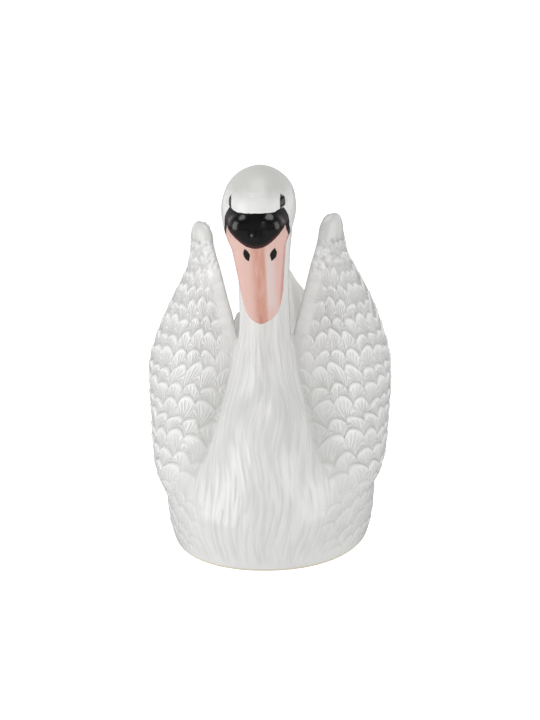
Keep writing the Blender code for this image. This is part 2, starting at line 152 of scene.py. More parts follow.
# neck stations along its path: y, z, half width, half depth
NECK = ((-46.0, 20.0, 70.0, 68.0), (-46.0, 44.0, 63.0, 64.0), (-43.0, 66.0, 52.5, 55.0),
        (-37.5, 88.0, 41.2, 44.0), (-30.0, 110.0, 31.8, 33.0), (-22.5, 132.0, 25.3, 26.2),
        (-16.0, 154.0, 21.1, 22.0), (-12.5, 178.0, 19.7, 20.4), (-13.0, 204.0, 20.0, 20.0),
        (-18.0, 228.0, 21.5, 20.5), (-27.0, 248.0, 24.0, 22.0), (-37.0, 262.0, 24.0, 22.0))
# head stations from nape to face
HEAD = ((-9.0, 278.0, 9.0, 8.5), (-15.0, 277.5, 18.7, 17.3), (-25.0, 275.2, 25.2, 22.8),
        (-37.0, 271.4, 27.6, 27.0), (-48.0, 265.2, 28.2, 27.6), (-58.0, 256.5, 26.0, 24.5),
        (-64.0, 248.0, 23.0, 20.0), (-66.0, 240.0, 19.5, 15.0))
# bill stations from the face to the nail, with how far each stands aside to the swan's left
BILL = ((-57.0, 262.0, 22.5, 18.0, 0.0), (-60.5, 246.0, 21.1, 18.0, 0.4),
        (-61.5, 232.0, 19.2, 14.5, 1.0), (-60.0, 216.0, 17.3, 11.0, 1.7),
        (-57.5, 202.0, 15.6, 8.4, 2.0), (-54.5, 190.0, 12.8, 6.4, 1.6),
        (-52.5, 183.3, 8.6, 4.8, 0.8), (-51.3, 179.2, 3.4, 3.0, 0.0))
BILL_RIDGE = 2.2                # how far the middle of the bill stands up
BILL_SQUARENESS = 2.3           # powers of the sections, 2 is an ellipse
HEAD_SQUARENESS = 1.88
KNOB = ((0.0, -68.5, 257.0), (22.5, 12.5, 13.0))     # middle and half sizes of the black knob
KNOB_LOBE = ((10.0, -72.5, 258.0), (11.5, 10.5, 11.0))   # mirrored, they leave a saddle between
KNOB_TAIL = ((0.0, -71.5, 247.5), (13.0, 10.0, 9.5))
EYE = ((19.6, -61.8, 276.2), (3.0, 3.8, 4.4))        # middle and half sizes, mirrored
# wing stations: height, then x and y of the front rim, the widest point and the rear rim
WING = ((36.0, 66.0, -62.0, 82.0, 2.0, 50.0, 84.0), (46.0, 61.0, -66.0, 89.5, 6.0, 50.0, 96.0),
        (60.0, 53.0, -66.0, 93.5, 12.0, 50.0, 108.0), (83.0, 40.0, -56.0, 95.5, 18.0, 54.0, 120.0),
        (107.0, 33.0, -43.0, 97.0, 22.0, 61.0, 127.0), (130.0, 26.5, -30.0, 96.5, 24.0, 66.0, 126.0),
        (157.0, 22.5, -14.0, 88.5, 26.0, 68.0, 116.0), (176.0, 26.5, -7.0, 80.0, 27.0, 67.0, 103.0),
        (193.0, 31.0, -2.0, 71.5, 27.0, 63.0, 89.0), (211.0, 35.5, 3.0, 63.5, 27.0, 58.0, 72.0),
        (227.0, 40.5, 9.0, 60.5, 27.0, 56.5, 55.0), (238.0, 42.5, 14.0, 60.0, 27.0, 55.5, 44.0),
        (244.5, 45.0, 18.0, 58.5, 27.0, 54.5, 38.0), (247.5, 48.0, 22.0, 56.0, 27.3, 53.5, 33.5))
# wing thickness by height
WING_THICK = ((36.0, 10.5), (107.0, 10.5), (157.0, 10.0), (211.0, 9.5), (247.5, 7.0))
WING_RIM_SHARE = 0.62           # thickness at the front rim, as a share of the wing's
WING_RIM_GROWTH = 3.0           # how fast it grows to the full thickness behind the rim
LEFT_WING_DROP = 6.0            # the left wing sits a little lower at its tip
WING_REAR_THICK = 6.0           # thickness at the rear rim
REAR_TIPS = (62.0, 236.0)       # heights between which the rear rim is stepped
REAR_TIP_PITCH = 21.0           # height of one stepped feather tip on the rear rim
REAR_TIP_OUT = 5.0              # how far each tip stands out
WING_AXIS = (34.0, 36.0)        # x and y that the feather columns fan round
WING_FAN = (-98.0, 170.0)       # degrees: where the columns start and how far they go round
VANE_TURN = 14.0                # degrees between the long feathers inside a wing
TAIL_FAN = (215.0, 56.0, 7)     # y where the tail's long feathers meet, their spread in degrees, how many
# height, and radius of the neck and breast that the strands run down
STRAND_SPREAD = ((0.0, 78.0), (60.0, 56.0), (100.0, 36.0), (150.0, 21.0), (300.0, 20.0))
# tail stations from the rump to the point: y, z, half width, half thickness
TAIL = ((60.0, 62.0, 56.0, 46.0), (82.0, 88.0, 54.0, 36.0), (100.0, 110.0, 48.0, 26.0),
        (115.0, 129.0, 40.0, 17.5), (127.0, 145.0, 31.5, 11.5), (136.0, 159.0, 22.0, 8.5),
        (142.0, 171.0, 13.0, 6.5), (146.0, 180.0, 5.0, 4.0))
NECK_HOLLOW = (40.0, 258.0)     # heights between which the neck is hollow
TAIL_HOLLOW = (60.0, 140.0)     # the same for the tail
HOLLOW_LEAST = 5.0              # half width under which slip fills a form right up
HOLLOW_TOP = 4.0                # how much more than the wall is left under the hull's top
HULL_SPARE, TUBE_SPARE = 1.0, 0.5   # extra wall where the skin was softened, in the hull and the rest
FOOT_DRAFT = 1.0                # how far the edge of the foot recess slopes in
PAST = 4.0                      # how far a cutter runs past what it cuts
SOFTENING = 25.0                # mm squared over which the junctions are softened
SKIN_TRIANGLES = 188000         # what the skin is thinned to before it is hollowed
# rings along each form and points round each ring
RINGS = {"hull": (48, 128), "neck": (80, 96), "head": (40, 80), "bill": (52, 80), "tail": (40, 64),
         "wing": (214, 60)}
HOLLOW_RINGS = {"hull": (12, 48), "neck": (24, 24), "tail": (12, 24)}
VENT_POINTS, FOOT_POINTS = 32, 96
LENGTH_SHIFT = -17.94           # centres the length, the same shift as in the part


def smooth_read(table, h):
    """Value row of a table at height or step h, along a smooth curve through its rows."""
    rows = len(table)
    k = 0
    while k < rows - 2 and h > table[k + 1][0]:
        k += 1
    a, b = table[k], table[k + 1]
    t = min(1.0, max(0.0, (h - a[0]) / (b[0] - a[0])))
    before, after = table[max(0, k - 1)], table[min(rows - 1, k + 2)]
    out = []
    for i in range(1, len(a)):
        ma = (b[i] - before[i]) / (b[0] - before[0]) * (b[0] - a[0])
        mb = (after[i] - a[i]) / (after[0] - a[0]) * (b[0] - a[0])
        out.append((2 * t**3 - 3 * t**2 + 1) * a[i] + (t**3 - 2 * t**2 + t) * ma
                   + (3 * t**2 - 2 * t**3) * b[i] + (t**3 - t**2) * mb)
    return out


def add_loft(bm, rings):
    """Closed body through rings of equal count, capped at both ends."""
    made = [[bm.verts.new(Vector(p) * MM) for p in ring] for ring in rings]
    count = len(made[0])
    for lower, upper in zip(made, made[1:]):
        for i in range(count):
            j = (i + 1) % count
            bm.faces.new((lower[i], lower[j], upper[j], upper[i]))
    bm.faces.new(list(reversed(made[0])))
    bm.faces.new(made[-1])


def heights(low, top, steps):
    """Even steps from one height to another, both included."""
    return [low + (top - low) * k / steps for k in range(steps + 1)]


def stations(table, steps):
    """Even steps along a table that has no height column: the row number is its height."""
    rows = [(float(k),) + tuple(row) for k, row in enumerate(table)]
    last = len(table) - 1
    return [smooth_read(rows, last * s / steps) for s in range(steps + 1)]


def swept_rings(rows, count, ridge=0.0, power=2.0):
    """Rings across a path. Rows hold y, z, half width, half depth and, for the bill, the place in x."""
    rings = []
    last = len(rows) - 1
    for k, (y, z, wide, deep, *aside) in enumerate(rows):
        ya, za = rows[max(0, k - 1)][:2]
        yb, zb = rows[min(last, k + 1)][:2]
        run = math.hypot(yb - ya, zb - za)
        ty, tz = (yb - ya) / run, (zb - za) / run
        ring = []
        for i in range(count):
            a = 2 * math.pi * i / count
            c, s = math.cos(a), math.sin(a)
            across = wide * math.copysign(abs(c) ** (2 / power), c)
            out = deep * math.copysign(abs(s) ** (2 / power), s)
            if s > 0:
                out += ridge * s * max(0.0, 1 - abs(c) * 1.6)
            ring.append((across + sum(aside), y + tz * -out, z + ty * out))
        rings.append(ring)
    return rings


def add_ellipsoid(bm, middle, half):
    """Closed ellipsoid with its middle and half sizes in mm."""
    made = bmesh.ops.create_uvsphere(bm, u_segments=32, v_segments=20, radius=1.0)
    for v in made["verts"]:
        v.co = Vector([(middle[i] + v.co[i] * half[i]) * MM for i in range(3)])


def hull_ring(z, count, inset=0.0):
    """Oval plan of the hull at one height."""
    wide, ahead, behind = [v - inset for v in smooth_read(HULL, z)]
    ring = []
    for i in range(count):
        a = 2 * math.pi * i / count
        c, s = math.cos(a), math.sin(a)
        length = behind if s > 0 else ahead
        ring.append((HULL_ASIDE + wide * math.copysign(abs(c) ** (2 / HULL_SQUARENESS), c),
                     FOOT_CENTRE_Y + length * math.copysign(abs(s) ** (2 / HULL_SQUARENESS), s), z))
    return ring


def wing_ring(z, side, count):
    """Crescent section of a wing at one height: outer face forward, inner face back again."""
    fx, fy, mx, my, rx, ry = smooth_read(WING, z)
    thick = smooth_read(WING_THICK, z)[0]
    if REAR_TIPS[0] < z < REAR_TIPS[1]:
        lobe = ((z - REAR_TIPS[0]) / REAR_TIP_PITCH) % 1.0
        ry += REAR_TIP_OUT * math.sqrt(max(0.0, 1 - lobe**2)) - REAR_TIP_OUT * 0.5
    outer = []
    for i in range(count + 1):
        a = math.pi * i / count
        if a <= math.pi / 2:
            outer.append((fx + (mx - fx) * math.sin(a), my - (my - fy) * math.cos(a)))
        else:
            outer.append((rx + (mx - rx) * math.sin(a), my - (ry - my) * math.cos(a)))
    inner = []
    for i, (x, y) in enumerate(outer):
        xa, ya = outer[max(0, i - 1)]
        xb, yb = outer[min(count, i + 1)]
        run = math.hypot(xb - xa, yb - ya)
        nx, ny = -(yb - ya) / run, (xb - xa) / run
        f = i / count
        front = thick * min(1.0, WING_RIM_SHARE + WING_RIM_GROWTH * f)
        depth = min(thick, front * (1 - f) + WING_REAR_THICK * f)
        inner.append((x + nx * depth, y + ny * depth))
    if side < 0:
        z -= LEFT_WING_DROP * ((z - WING[0][0]) / (WING[-1][0] - WING[0][0])) ** 2
    ring = [(side * x, y, z) for x, y in outer] + [(side * x, y, z) for x, y in reversed(inner)]
    return ring if side > 0 else list(reversed(ring))


def base_forms():
    """All forms of the casting as closed overlapping bodies in one mesh."""
    bm = bmesh.new()
    steps, count = RINGS["hull"]
    add_loft(bm, [hull_ring(z, count) for z in heights(HULL[0][0], HULL[-1][0], steps)])
    for key, table, ridge, power in (("neck", NECK, 0.0, 2.0), ("head", HEAD, 0.0, HEAD_SQUARENESS),
                                     ("bill", BILL, BILL_RIDGE, BILL_SQUARENESS), ("tail", TAIL, 0.0, 2.0)):
        steps, count = RINGS[key]
        add_loft(bm, swept_rings(stations(table, steps), count, ridge, power))
    add_ellipsoid(bm, *KNOB)
    add_ellipsoid(bm, *KNOB_TAIL)
    steps, count = RINGS["wing"]
    for side in (1, -1):
        add_loft(bm, [wing_ring(z, side, count) for z in heights(WING[0][0], WING[-1][0], steps)])
        for middle, half in (EYE, KNOB_LOBE):
            add_ellipsoid(bm, (side * middle[0], middle[1], middle[2]), half)
    bmesh.ops.recalc_face_normals(bm, faces=bm.faces)
    return bm


# Node helpers

def add_node(tree, kind, inputs=None, **settings):
    """Add one node. inputs gives a socket by name or number a value or another node's output."""
    node = tree.nodes.new(kind)
    for key, value in settings.items():
        setattr(node, key, value)
    for key, value in (inputs or {}).items():
        if isinstance(value, bpy.types.NodeSocket):
            tree.links.new(value, node.inputs[key])
        elif node.inputs[key].type == "RGBA":
            node.inputs[key].default_value = tuple(value) + (1.0,)
        else:
            node.inputs[key].default_value = value
    return node


SIGNS = {ast.Add: "ADD", ast.Sub: "SUBTRACT", ast.Mult: "MULTIPLY", ast.Div: "DIVIDE", ast.Pow: "POWER"}
WORDS = {"sin": "SINE", "atan2": "ARCTAN2", "floor": "FLOOR", "mod": "FLOORED_MODULO",
         "low": "MINIMUM", "high": "MAXIMUM", "abs": "ABSOLUTE", "sqrt": "SQRT", "above": "GREATER_THAN"}


def work_out(tree, text, **known):
    """Lines of arithmetic turned into Math nodes; each line names a result for the lines below.
    soft(x, width) rises smoothly from 0 to 1 over a width round zero."""
    def make(part):
        if isinstance(part, ast.Constant):
            return float(part.value)
        if isinstance(part, ast.Name):
            return known[part.id]
        if isinstance(part, ast.UnaryOp):
            inner = make(part.operand)
            return -inner if isinstance(inner, float) else \
                add_node(tree, "ShaderNodeMath", {0: inner, 1: -1.0}, operation="MULTIPLY").outputs[0]
        if isinstance(part, ast.BinOp):
            pair = {0: make(part.left), 1: make(part.right)}
            return add_node(tree, "ShaderNodeMath", pair, operation=SIGNS[type(part.op)]).outputs[0]
        values = [make(a) for a in part.args]
        if part.func.id == "soft":
            half = values[1] / 2
            return add_node(tree, "ShaderNodeMapRange", {0: values[0], 1: -half, 2: half, 3: 0.0, 4: 1.0},
                            interpolation_type="SMOOTHSTEP").outputs[0]
        return add_node(tree, "ShaderNodeMath", dict(enumerate(values)),
                        operation=WORDS[part.func.id]).outputs[0]
    for line in ast.parse(text.replace("\n    ", "\n").strip()).body:
        known[line.targets[0].id] = make(line.value)
    return known


def table_curve(tree, value, rows, column, span, reach):
    """One column of a table read at a height, as a Float Curve. span is the range of heights and
    reach the range of the column, because a curve runs from 0 to 1 both ways."""
    curve = add_node(tree, "ShaderNodeFloatCurve",
                     {1: work_out(tree, f"t = (z - {span[0]}) / {span[1] - span[0]}", z=value)["t"]})
    line = curve.mapping.curves[0]
    points = [((row[0] - span[0]) / (span[1] - span[0]), (row[column] - reach[0]) / (reach[1] - reach[0]))
              for row in rows]
    line.points[0].location, line.points[1].location = points[0], points[-1]
    for place in points[1:-1]:
        line.points.new(*place)
    for point in line.points:
        point.handle_type = "VECTOR"
    curve.mapping.update()
    return work_out(tree, f"v = c * {reach[1] - reach[0]} + {reach[0]}", c=curve.outputs[0])["v"]


# Height of the tips of one row of feathers, in rows, with single tips a little higher or lower and
# single rows moved round a little.
TIP = """
    at_{n} = u + 0.5 * mod({row}, 2) + 0.2 * sin(4.7 * ({row}))
    off_{n} = mod(at_{n}, 1) - 0.5
    edge_{n} = 1 - sqrt(high(0, 1 - 3.61 * off_{n} * off_{n}))
    tip_{n} = {row} + 1 + 0.14 * sin(7.3 * floor(at_{n}) + 3.1 * ({row})) - arc * edge_{n}
"""
# Overlapping feathers with rounded tips up. u counts columns and v counts rows; the lines give
# off, the place across the feather from -0.5 to 0.5, along, 0 where it comes out from under the
# row below to 1 at its tip, and scale, its height from 0 to 1.
SCALLOPS = "row = floor(v - 0.14)" + "".join(
    TIP.format(n=n, row=row) for n, row in (("a", "row"), ("b", "row + 1"), ("c", "row - 1"))) + """
    over = above(v, tip_a)
    below = tip_c + over * (tip_a - tip_c)
    tip = tip_a + over * (tip_b - tip_a)
    off = off_a + over * (off_b - off_a)
    along = low(1, high(0, (v - below) / high(0.2, tip - below)))
    close = low(1, high(0, (tip - v) / run))
    lip = high(0, 1 - ((tip - v) * 6.5 - 1) * ((tip - v) * 6.5 - 1))
    scale = (0.85 * along ** 0.7 + 0.2 * lip - dome * 4 * off * off * along) * close * close * (3 - 2 * close)
"""


# sizes that the feather tree takes as named inputs
RELIEF = ("feather_row", "feather_columns", "feather_step", "feather_arc", "feather_dome", "step_run",
          "rim_band", "band_rise", "vane_rise", "body_feather", "strand_depth", "strand_pitch",
          "cap_roughness")


def feather_tree(materials):
    """The tree that lays feathers, vanes and strands over the softened skin."""
    tree = bpy.data.node_groups.new("moulded feathers", "GeometryNodeTree")
    tree.interface.new_socket("Geometry", in_out="INPUT", socket_type="NodeSocketGeometry")
    for name in RELIEF:
        tree.interface.new_socket(name, in_out="INPUT", socket_type="NodeSocketFloat")
    tree.interface.new_socket("Geometry", in_out="OUTPUT", socket_type="NodeSocketGeometry")
    start = add_node(tree, "NodeGroupInput").outputs
    place = add_node(tree, "ShaderNodeVectorMath", {0: add_node(tree, "GeometryNodeInputPosition").outputs[0],
                                                    3: 1 / MM}, operation="SCALE").outputs[0]
    facing = add_node(tree, "GeometryNodeInputNormal").outputs[0]
    p = add_node(tree, "ShaderNodeSeparateXYZ", {0: place}).outputs
    n = add_node(tree, "ShaderNodeSeparateXYZ", {0: facing}).outputs
    span = (WING[0][0], WING[-1][0])
    rim_x = table_curve(tree, p[2], WING, 1, span, (0.0, 100.0))
    rim_y = table_curve(tree, p[2], WING, 2, span, (-100.0, 100.0))
    spread = table_curve(tree, p[2], STRAND_SPREAD, 1, (0.0, 300.0), (0.0, 100.0))
    patch = add_node(tree, "ShaderNodeTexNoise", {"Vector": place, "Scale": 0.035, "Detail": 1.0}).outputs[0]
    wing = work_out(tree, f"""
    x = abs(sx)
    side = above(sx, 0) * 2 - 1
    ox = x - {WING_AXIS[0]}
    oy = y - {WING_AXIS[1]}
    turn = atan2(oy, ox)
    radial = (nx * side * ox + ny * oy) / high(1, sqrt(ox * ox + oy * oy))
    # rows rise and dip round the wing
    lift = z + 5 * sin(turn * 1.3 + 0.6)
    even_u = (turn - {math.radians(WING_FAN[0])}) / {math.radians(WING_FAN[1])} * columns
    even_v = lift / pitch
    # rows and columns wander a little, as modelled by hand
    u = even_u + 0.16 * sin(even_v * 2.3 + 1) + 0.1 * sin(even_v * 0.7)
    v = even_v + 0.12 * sin(u * 1.9) + 0.07 * sin(u * 4.3 + 2)
    inx = high(0, x - rx)
    iny = high(0, y - ry)
    from_rim = sqrt(inx * inx + iny * iny)
    on_wing = soft(radial - 0.1, 0.3) * soft(x - rx - 1, 5) * soft(z - 50, 26)
    thumb = soft(z - 230, 5)
    band = soft(band_wide - from_rim, 4) * soft(z - 150, 50)
    # flatter beside the neck, in patches and towards the top
    bold = (0.42 + 0.58 * soft(from_rim - 18, 26)) * (0.7 + 0.6 * patch) * (1 - 0.3 * soft(z - 190, 40))
    plain = (1 - band) * (1 - thumb) * bold
    arc = tip_arc / pitch
    dome = dome_mm / step
    run = run_mm / pitch
    """, sx=p[0], y=p[1], z=p[2], nx=n[0], ny=n[1], rx=rim_x, ry=rim_y, pitch=start["feather_row"],
                    columns=start["feather_columns"], band_wide=start["rim_band"],
                    tip_arc=start["feather_arc"], dome_mm=start["feather_dome"],
                    step=start["feather_step"], run_mm=start["step_run"], patch=patch)
    scales = work_out(tree, SCALLOPS, u=wing["u"], v=wing["v"], arc=wing["arc"], dome=wing["dome"],
                      run=wing["run"])
    hull = work_out(tree, """
    hull = (1 - soft(z - 50, 22)) * soft(z - 9, 10) * high(soft(x - 50, 24), soft(y - 10, 20))
    round = atan2(y + 20, x)
    u = round * 5.4 + 0.4 * sin(z * 0.11)
    v = z / 12.5 + 0.5 * sin(round * 4)
    """, y=p[1], z=p[2], x=wing["x"])
    flat_scales = work_out(tree, SCALLOPS, u=hull["u"], v=hull["v"], arc=0.5, dome=0.3, run=0.14)
    # strands: long noise across the flow from the neck down over the breast
    flow = work_out(tree, """
    around = atan2(sx, -(y + 15))
    wave = around * spread + 1.6 * sin(z * 0.085 + around * 3)
    across = wave / pitch
    length = z / 36
    """, sx=p[0], y=p[1], z=p[2], spread=spread, pitch=start["strand_pitch"])
    strand_place = add_node(tree, "ShaderNodeCombineXYZ", {0: flow["across"], 1: flow["length"]}).outputs[0]
    strand = add_node(tree, "ShaderNodeTexNoise", {"Vector": strand_place, "Scale": 1.0, "Detail": 1.5,
                                                   "Roughness": 0.45, "Distortion": 0.55}).outputs[0]
    # low ridges about 7 mm apart run across the band and the front of the cap
    ridges = add_node(tree, "ShaderNodeVectorMath", {0: place, 1: (0.06, 0.06, 0.2)}, operation="MULTIPLY")
    ridges = add_node(tree, "ShaderNodeTexNoise", {"Vector": ridges.outputs[0], "Scale": 1.0, "Detail": 1.5,
                                                   "Distortion": 0.4}).outputs[0]
    rough_cap = add_node(tree, "ShaderNodeTexNoise", {"Vector": place, "Scale": 0.26, "Detail": 2.0,
                                                      "Distortion": 0.8}).outputs[0]
    # masks of tail, inner wing faces and strands, then the relief of each in mm
    done = work_out(tree, f"""
    tail = soft(47 - x, 8) * soft(y - 92, 16) * soft(z - 92, 14)
    inside = soft(-radial - 0.1, 0.3) * soft(z - 128, 16) * soft(x - rx, 6) * soft(y - 14, 12) * (1 - tail)
    vane = 2 * mod(turn / {math.radians(VANE_TURN)}, 1) - 1
    fan = 2 * mod(atan2(sx, {TAIL_FAN[0]} - y) / {math.radians(TAIL_FAN[1])} * {TAIL_FAN[2]} + 0.5, 1) - 1
    covered = high(high(on_wing, hull), high(inside, tail))
    neck = (1 - covered) * soft(186 - z, 76) * soft(z - 6, 8) * (1 - soft(y - 38, 8))
    cord = soft(strand - 0.5, 0.34)
    smooth = (rise + 2.4 * (ridges - 0.5) * (1 - thumb)) * high(band, thumb)
    ruffle = cap * (rough_cap - 0.5) * 2 * soft(z - 206, 16) * (1 - thumb)
    outer = (step * scale * plain + smooth + ruffle) * on_wing
    long = vane_rise * (inside * (1 - vane * vane) + tail * (1 - fan * fan))
    # small pimple in the middle of the knob
    nose = 0.9 * high(0, 1 - (sx * sx + (z - 253.5) * (z - 253.5)) / 13) * above(-73, y)
    height = outer + long + body * hull * hull_scale + depth * neck * (cord - 0.5) + nose
    """, sx=p[0], y=p[1], z=p[2], x=wing["x"], radial=wing["radial"], rx=rim_x, turn=wing["turn"],
                    on_wing=wing["on_wing"], hull=hull["hull"], strand=strand, step=start["feather_step"],
                    scale=scales["scale"], plain=wing["plain"], rise=start["band_rise"], band=wing["band"],
                    thumb=wing["thumb"], vane_rise=start["vane_rise"], body=start["body_feather"],
                    hull_scale=flat_scales["scale"], depth=start["strand_depth"],
                    rough_cap=rough_cap, cap=start["cap_roughness"], ridges=ridges)
    kept = work_out(tree, "feathered = on_wing * plain", on_wing=wing["on_wing"], plain=wing["plain"])
    mesh = start["Geometry"]
    for name, value in (("feather_u", wing["u"]), ("feather_v", wing["v"]), ("feather_on", kept["feathered"]),
                        ("hull_u", hull["u"]), ("hull_v", hull["v"]), ("hull_on", hull["hull"]),
                        ("strand_across", flow["wave"]), ("strand_on", done["neck"]),
                        ("relief", done["height"])):
        mesh = add_node(tree, "GeometryNodeStoreNamedAttribute",
                        {"Geometry": mesh, "Name": name, "Value": value},
                        data_type="FLOAT", domain="POINT").outputs[0]
    push = add_node(tree, "ShaderNodeVectorMath", {0: facing, 3: work_out(
        tree, f"m = h * {MM}", h=done["height"])["m"]}, operation="SCALE").outputs[0]
    mesh = add_node(tree, "GeometryNodeSetPosition", {"Geometry": mesh, "Offset": push}).outputs[0]
    mesh = add_node(tree, "GeometryNodeRealizeInstances", {0: mesh}).outputs[0]
    mesh = add_node(tree, "GeometryNodeSetMaterial", {"Geometry": mesh, "Material": materials[0]}).outputs[0]
    # the front of the head carries the painted glaze
    painted = work_out(tree, """
    back = -34 - 0.6 * high(0, z - 262)
    face = above(z, 177) * above(back, y) * above(34, x)
    """, z=p[2], y=p[1], x=wing["x"])
    mesh = add_node(tree, "GeometryNodeSetMaterial", {"Geometry": mesh, "Material": materials[1],
                                                      "Selection": painted["face"]}).outputs[0]
    add_node(tree, "NodeGroupOutput", {0: mesh})
    return tree


# Glazes

def glazed_material(name, attributes, surface):
    """A gloss glaze over fired clay. surface adds the nodes that give colour, roughness and height,
    and may use the attributes that the feather tree has stored."""
    material = bpy.data.materials.new(name)
    material.use_nodes = True
    tree = material.node_tree
    shader = tree.nodes["Principled BSDF"]
    shader.inputs["IOR"].default_value = 1.52       # lead-free gloss glaze
    shader.inputs["Metallic"].default_value = 0.0
    place = add_node(tree, "ShaderNodeTexCoord").outputs["Object"]
    mm = add_node(tree, "ShaderNodeVectorMath", {0: place, 3: 1 / MM}, operation="SCALE").outputs[0]
    xyz = add_node(tree, "ShaderNodeSeparateXYZ", {0: mm}).outputs
    known = {key: add_node(tree, "ShaderNodeAttribute", attribute_name=key).outputs["Fac"]
             for key in attributes}
    known.update(sx=xyz[0], yy=xyz[1], z=xyz[2])
    # clouds 30 mm across where the glaze runs thicker, waves 9 mm across and 0.03 mm high, because a
    # thick glaze is never quite flat, and blotches 6 mm across
    for key, scale, detail in (("cloud", 0.035, 2.0), ("waves", 0.11, 1.0), ("blotch", 0.17, 2.0)):
        known[key] = add_node(tree, "ShaderNodeTexNoise",
                              {"Vector": mm, "Scale": scale, "Detail": detail}).outputs[0]
    # on top of the head, blotches of painted shade grey the glaze, and the same blotches make it shine less
    known["crown"] = work_out(tree, "crown = soft(z - 284, 24) * (0.5 + 1.5 * blotch)", **known)["crown"]
    colour, rough, height = surface(tree, mm, known)
    tree.links.new(colour, shader.inputs["Base Color"])
    tree.links.new(rough, shader.inputs["Roughness"])
    bump = add_node(tree, "ShaderNodeBump", {"Strength": 1.0, "Distance": MM, "Height": height})
    tree.links.new(bump.outputs[0], shader.inputs["Normal"])
    return material


def white_glaze(colours, sizes):
    """White gloss glaze on slip-cast earthenware: it is whitest over the crests and greyer in the low places
    of the relief, partly where glaze pools and partly as painted shade. Painted shade also greys it in the
    grooves, under the feather tips, on the wing tips, beside the neck and on top of the head. The tail is
    painted lighter and warmer as painted warm light, and the foot ring is wiped bare. Fan strokes inside each
    feather, 2 to 3 mm apart, are pressed in the mould."""
    def surface(tree, mm, known):
        wing = work_out(tree, SCALLOPS + """
    ang = atan2(off * 15, (along + 0.3) * 13)
    ray = soft(sin(ang * 25 + 1.57) - 0.3, 1.3) * soft(along - 0.1, 0.3) * (1 - soft(along - 0.72, 0.3))
    gap = (1 - soft(along - 0.11, 0.2)) * soft(along, 0.04)
    """, u=known["feather_u"], v=known["feather_v"], arc=sizes.feather_arc / sizes.feather_row,
                        dome=sizes.feather_dome / sizes.feather_step, run=sizes.step_run / sizes.feather_row)
        hull = work_out(tree, SCALLOPS + """
    ang = atan2(off * 17, (along + 0.35) * 13)
    ray = soft(sin(ang * 30 + 1.57) - 0.2, 1.4) * soft(along - 0.15, 0.3)
    gap = 1 - soft(along - 0.11, 0.2)
    """, u=known["hull_u"], v=known["hull_v"], arc=0.5, dome=0.3, run=0.14)
        lines = work_out(tree, "across = a / 1.9\ndown = z / 28", a=known["strand_across"], z=known["z"])
        lines = add_node(tree, "ShaderNodeCombineXYZ", {0: lines["across"], 1: lines["down"]}).outputs[0]
        fine = add_node(tree, "ShaderNodeTexNoise", {"Vector": lines, "Scale": 1.0, "Detail": 1.0,
                                                     "Distortion": 0.5}).outputs[0]
        # grey from pooled glaze and painted shade, bisque on the bare foot and as painted warm light on the
        # tail, relief in mm
        # bisque colour: bare on the foot ring, and a share of it on the tail as painted warm light
        # greyer in the low places of the relief, partly where glaze pools and partly as painted shade
        # painted shade in the grooves between the strands
        # painted shade in the hollow where a wing meets the neck
        # painted shade in the step under each feather tip and in the fan strokes
        # painted shade on the wing tips
        # painted warm light: the tail is kept out of the grey and takes some bisque colour, so it looks
        # lighter and warmer
        done = work_out(tree, """
    tail = soft(yy - 84, 30) * soft(z - 90, 20)
    thumb = 0.5 * soft(z - 226, 14) * soft(abs(sx) - 37, 4)
    thick = low(1, high(0, 0.55 - relief * 0.36)) * (0.55 + 0.5 * cloud) * 0.8 * (1 - tail) + thumb
    under = 0.55 * wing_gap * feather_on + 0.4 * hull_gap * hull_on + 0.15 * wing_ray * feather_on
    line = 0.22 * strand_on * soft(0.47 - fine, 0.2)
    beside_neck = soft(58 - abs(sx), 26) * soft(z - 50, 40) * (1 - soft(z - 135, 60))
    hollow = 0.35 * beside_neck * soft(feather_on - 0.1, 0.3)
    pool = low(1, thick + under + line + hollow + crown)
    bare = soft(1.5 - z, 0.5)
    strokes = 0.7 * (1 - wing_ray) * feather_on + 0.45 * hull_ray * hull_on
    height = strokes + 0.4 * fine * strand_on + 0.1 * waves
    rough = 0.16 + 0.08 * waves + 0.6 * bare + 0.2 * low(1, crown)
    clay = high(bare, 0.2 * tail)
    """, wing_gap=wing["gap"], wing_ray=wing["ray"], hull_gap=hull["gap"], hull_ray=hull["ray"], fine=fine,
                        **known)
        white = add_node(tree, "ShaderNodeMix", {0: done["pool"], 6: colours.glaze, 7: colours.pooled},
                         data_type="RGBA").outputs[2]
        colour = add_node(tree, "ShaderNodeMix", {0: done["clay"], 6: white, 7: colours.bisque},
                          data_type="RGBA").outputs[2]
        return colour, done["rough"], done["height"]

    used = ("relief", "feather_u", "feather_v", "feather_on", "hull_u", "hull_v", "hull_on",
            "strand_across", "strand_on")
    return glazed_material("white gloss glaze on slip-cast earthenware", used, surface)


